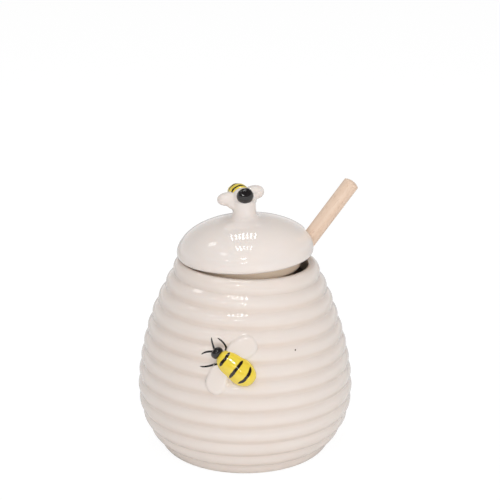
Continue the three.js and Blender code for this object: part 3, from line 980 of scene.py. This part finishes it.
def fill_creases(mesh, rounds, keep_convex=0.12):
    """Evens a mesh out, mostly in its hollows, so that sharp joins turn into fillets."""
    points = mesh_points(mesh)
    edges = np.array([edge.vertices[:] for edge in mesh.edges])
    here, there = np.vstack([edges, edges[:, ::-1]]).T
    count = np.bincount(here)[:, None]
    for _ in range(rounds):
        set_points(mesh, points)
        normals = np.empty(points.size)
        mesh.vertex_normals.foreach_get("vector", normals)
        total = [np.bincount(here, column[there]) for column in points.T]
        move = np.column_stack(total) / count - points
        outward = (move * normals.reshape(-1, 3)).sum(1)
        points += move * np.where(outward > 0, 0.5, 0.5 * keep_convex)[:, None]
    set_points(mesh, points)


# %% Clay parts of the knob, in the lid's frame
knob_yaw = 22.5
knob_roll = -4
bee_height = 27.8
bee_place = rotated(Matrix.Translation((0, 0, bee_height)), knob_yaw, "Z")
bee_place = rotated(bee_place, knob_roll, "Y")


def knob_lump(forward, up, half_sizes, bluntness, sideways=0.0):
    """A lump of the bee, measured from its middle. Its half sizes run sideways, forwards
    and upwards."""
    points, faces = lump(half_sizes, bluntness, turns=48)
    points += [sideways, -forward, up]
    turn = np.array(bee_place.to_3x3())
    return points @ turn.T + np.array(bee_place.translation), faces


stem_radius = 6
stem_top = 26.6
stem_shift = 0.5
stem_foot = [9.5, dome_height - 1.6]
stem_bend = bend([stem_foot, [stem_radius, dome_height - 0.5], [stem_radius, 21]])
stem_end = [[stem_radius, stem_top - 0.6], [0, stem_top + 1]]
stem_line = np.vstack([[[0, 8], [9.5, 8], stem_foot], stem_bend, stem_end])
stem_points, stem_faces = spin(stem_line, even_azimuths(64))
clay_parts = [
    (stem_points + [stem_shift, 0, 0], stem_faces),
    knob_lump(-0.6, 0.7, [4.8, 4.2, 3.9], 2.2),
    knob_lump(-6.0, 0.4, [4.8, 6.2, 4.4], 2.1),
    knob_lump(2.6, 1.1, [3.8, 3.2, 3.6], 2.1),
    # The wings, and the webs of clay that join them to the stem
    knob_lump(-4.2, -0.6, [5.6, 4.3, 3.3], 2.3, sideways=-6.8),
    knob_lump(-4.4, -0.3, [5.6, 4.4, 3.6], 2.3, sideways=7.8),
    knob_lump(-1.5, -3.6, [3.4, 3.4, 2.2], 2.0, sideways=-4.8),
    knob_lump(-1.5, -3.4, [3.2, 3.4, 2.2], 2.0, sideways=4.6),
]
print("clay parts of the knob:", len(clay_parts))

# %% Rough lid: cut the arch, add the clay parts, merge them and fill the creases
voxel = 0.34
shell = make_mesh("shell", lid_points, lid_faces)
tunnel = add_object("tunnel", make_mesh("tunnel", tunnel_points, tunnel_faces))
notched = with_modifier(shell, "BOOLEAN", operation="DIFFERENCE", object=tunnel, solver="EXACT")
bpy.data.objects.remove(tunnel)
rough_parts = [(mesh_points(notched), [list(face.vertices) for face in notched.polygons])]
rough = make_mesh("rough", *join_points(rough_parts + clay_parts))
lid_mesh = with_modifier(rough, "REMESH", mode="VOXEL", voxel_size=voxel * mm)
fill_creases(lid_mesh, rounds=3, keep_convex=1.0)
fill_creases(lid_mesh, rounds=60)
print("lid casting has", len(lid_mesh.vertices), "points")

# %% Draw the dome back onto its true curve, away from the knob and the arch
knob_foot = 11.5
knob_blend = 2.5
arch_margin = 0.9
arch_blend = 1.2
weight_levels = 20
points = mesh_points(lid_mesh)
from_axis = np.hypot(points[:, 0], points[:, 1])
towards, aside, height = (points @ turn_to_dipper).T
round_arch = np.hypot(aside, height - arch_centre)
to_middle = np.where(height > arch_centre, round_arch, np.abs(aside))
from_arch = np.abs(to_middle - notch_half_width)
beyond_arch = ramp(from_arch, arch_margin, arch_margin + arch_blend)
beyond_arch = np.where(towards < notch_start - 2, 1, beyond_arch)
beyond_stem = ramp(from_axis, knob_foot, knob_foot + knob_blend)
inside_shell = height < dome_height - lid_thickness + 1.5
dome_share = beyond_arch * np.where(inside_shell, 1, beyond_stem)
dome_share = np.where(height > dome_height + 1, 0, dome_share)
worker = add_object("worker", lid_mesh)
weights = worker.vertex_groups.new(name="dome")
for level in range(1, weight_levels + 1):
    chosen = np.flatnonzero(np.round(dome_share * weight_levels) == level)
    weights.add(chosen.tolist(), level / weight_levels, "REPLACE")
true_dome = add_object("true_dome", shell)
wrap = worker.modifiers.new("wrap", "SHRINKWRAP")
wrap.target = true_dome
wrap.vertex_group = "dome"
lid_casting_mesh = modified_mesh(worker)
lid_casting_mesh.name = "lid_casting"
lid_casting_mesh.shade_smooth()
bpy.data.objects.remove(true_dome)
print("points on the true dome:", (dome_share > 0.5).sum())

# %% Set the outer dome's points exactly on its superellipse
dome_shift = 0.7
dome_shift_height = 7
edge_kept, edge_blend = 0.6, 1.5
snap_reach = 0.4
points = mesh_points(lid_casting_mesh)
from_axis = np.hypot(points[:, 0], points[:, 1])
compass = points[:, :2] / np.maximum(from_axis, 1e-9)[:, None]
across, up = from_axis.copy(), np.maximum(points[:, 2], 0)
power = dome_roundness
for _ in range(4):
    value = (across / lid_radius) ** power + (up / dome_height) ** power - 1
    steep_across = power / lid_radius * (across / lid_radius) ** (power - 1)
    steep_up = power / dome_height * (up / dome_height) ** (power - 1)
    step = value / (steep_across ** 2 + steep_up ** 2)
    across, up = across - step * steep_across, np.maximum(up - step * steep_up, 0)
was_near = np.hypot(across - from_axis, up - points[:, 2]) < snap_reach
above_edge = ramp(points[:, 2], edge_kept, edge_kept + edge_blend)
weight = dome_share * np.where(was_near, above_edge, 0)
points[:, :2] += compass * ((across - from_axis) * weight)[:, None]
points[:, 2] += (up - points[:, 2]) * weight
points[:, 0] += dome_shift * dome_share * smooth_step(points[:, 2], 0, dome_shift_height)
set_points(lid_casting_mesh, points)
print("points set on the dome:", (weight > 0).sum())

# %% Lid casting, with warm bounce light painted on the flange
flange_bounce_light_share = 0.9
flange_bounce_light_blend = 0.8
lid_rest_height = 106.95
lid_tilt = -2.37
bounce_light_begins = lid_edge_depth - 0.3
# Painted bounce light: below the lid's edge the flange takes the warm cream colour
below_edge = ramp(-points[:, 2], bounce_light_begins, bounce_light_begins + flange_bounce_light_blend)
add_pool_and_light(lid_casting_mesh, flange_bounce_light_share * below_edge)
lid_place = rotated(Matrix.Translation((0, 0, lid_rest_height * mm)), lid_tilt, "Y")
solids = ["lid_dome", "knob_stem", "knob_wing_left", "knob_wing_right"]
add_piece(lid_casting_mesh, lid_porcelain, "lid", "porcelain", solids, lid_place)

# %% [markdown]
# The knob's bee is painted like the one on the wall, with a black head and a banded yellow
# rump. Each is its own rounded lump that stands a hair proud of the casting.

# %% Painted parts of the knob
bee_in_metres = bee_place.copy()
bee_in_metres.translation = bee_place.translation * mm
knob_place = rotated(lid_place @ bee_in_metres, 90, "Z")
knob_bands = [(3.4, 0.8, 0.0, 5.6, 0.6), (7.3, 0.9, 0.0, 5.4, 0.7), (11.0, 0.6, 0.0, 4.2, 0.6)]
knob_yellow = make_striped_yellow("knob_yellow", knob_bands)

# In the knob's own frame, -X is forwards
rump = hand_made_lump([7.2, 5.4, 4.95], 2.1, [5.8, 0, 0.6], amount=0.25, grain=3)
face = hand_made_lump([3.7, 4.35, 4.15], 2.1, [-3.5, 0, 1.2], amount=0.25, grain=3)
facts = [knob_yellow, "lid", "yellow_glaze", ["knob_bee_body"], knob_place]
add_shape("knob_bee_rump", rump, *facts)
facts = [black_glaze, "lid", "black_glaze", ["knob_bee_head"], knob_place]
add_shape("knob_bee_face", face, *facts)

# %% [markdown]
# The dipper is turned beech: a dowel glued into a head with deep grooves, which hold the
# honey. Beech shows long, straight, faint grain and short dark flecks along it. Both pieces
# share one grain group, drawn along the piece's own Z axis.

# %% Beech grain group
grain, given = new_group("beech_grain", {"Place": origin, "Pale": white, "Dark": white})
calc = partial(math_node, grain)
fleck_brown = linear(196, 156, 126)
fleck_share = 0.3
long_lines = stretched(grain, given["Place"], (1, 1, 0.035))
fibre = noise_node(grain, long_lines, scale=900, detail=4, roughness=0.6)
broad = noise_node(grain, long_lines, scale=210, detail=2)
darkness = calc("MULTIPLY_ADD", calc("ADD", fibre, broad), 0.5, -0.32)
darkness = calc("MULTIPLY", darkness, 2.4, clamp=True)
wood = mix_colours(grain, darkness, given["Pale"], given["Dark"])
short_lines = stretched(grain, given["Place"], (1, 1, 0.22))
flecks = calc("SUBTRACT", noise_node(grain, short_lines, scale=1500, detail=1), 0.63)
flecks = calc("MULTIPLY", calc("MULTIPLY", flecks, 14, clamp=True), fleck_share)
put_out(grain, {
    "Colour": mix_colours(grain, flecks, wood, fleck_brown),
    "Height": calc("MULTIPLY_ADD", flecks, -0.6, fibre),
})


# %% Beech finish
def make_beech(name, pale, dark):
    """Sanded, unvarnished beech."""
    material, tree, shader, place = new_material(name)
    inputs = {"Place": place, "Pale": pale, "Dark": dark}
    wood = new_node(tree, "Group", inputs, node_tree=grain)
    set_inputs(tree, shader, {
        "Base Color": wood["Colour"],
        "Roughness": math_node(tree, "MULTIPLY_ADD", wood["Height"], 0.12, 0.5),
        "Normal": bumped(tree, wood["Height"], distance=0.00006),
    })
    return material


handle_beech = make_beech("handle_beech", linear(238, 213, 192), linear(229, 199, 174))
head_beech = make_beech("head_beech", linear(236, 208, 184), linear(221, 186, 156))

# %% Dipper
dipper_lean = 37
crossing_radius = 26.7
crossing_height = 101
crossing = Matrix.Translation(Vector((crossing_radius, 0, crossing_height)) * mm)
dipper_place = rotated(Matrix(), dipper_azimuth, "Z") @ rotated(crossing, dipper_lean, "Y")

handle_radius = 4.2
handle_tip = 49.6
handle_rim = handle_tip - 1.3
dipper_bottom = -113.6
head_length = 42
head_radius = 12
socket_depth = 16
head_top = dipper_bottom + head_length
foot_of_handle = head_top - socket_depth + 0.3
handle_line = [
    [[0, foot_of_handle], [handle_radius, foot_of_handle], [handle_radius, handle_rim]],
    bend([[handle_radius, handle_rim], [handle_radius * 0.6, handle_tip], [0, handle_tip]]),
]
handle_profile = whole_profile(handle_line, rounding=0.2, turn=7, reach=2)
facts = [handle_beech, "dipper", "beech", ["dipper_handle"], dipper_place]
add_shape("dipper_dowel", spin(handle_profile, even_azimuths(72)), *facts)

# %% Grooved head
disc_count = 7
disc_share = 0.56
core_radius = 6.8


def head_outline(share):
    """The head's radius: fullest a little below its middle."""
    return head_radius * (1 - 0.36 * abs(2 * (share - 0.46)) ** 2.6)


head_line = [[0, dipper_bottom], [4.5, dipper_bottom]]
for disc in range(disc_count):
    low = disc / disc_count
    high = 1.0 if disc == disc_count - 1 else (disc + disc_share) / disc_count
    low_height = dipper_bottom + low * head_length
    if disc > 0:
        head_line += [[core_radius, low_height], [head_outline(low), low_height]]
    for share in np.linspace(low, high, 5):
        head_line.append([head_outline(share), dipper_bottom + share * head_length])
    if high < 1:
        head_line.append([core_radius, dipper_bottom + high * head_length])
socket_radius = handle_radius + 0.05
socket_bottom = head_top - socket_depth
head_line += [[socket_radius, head_top], [socket_radius, socket_bottom], [0, socket_bottom]]
head_profile = whole_profile(head_line, rounding=0.28, turn=9, reach=2)
facts = [head_beech, "dipper", "beech", ["dipper_head"], dipper_place]
add_shape("dipper_grooved_head", spin(head_profile, even_azimuths(96)), *facts)
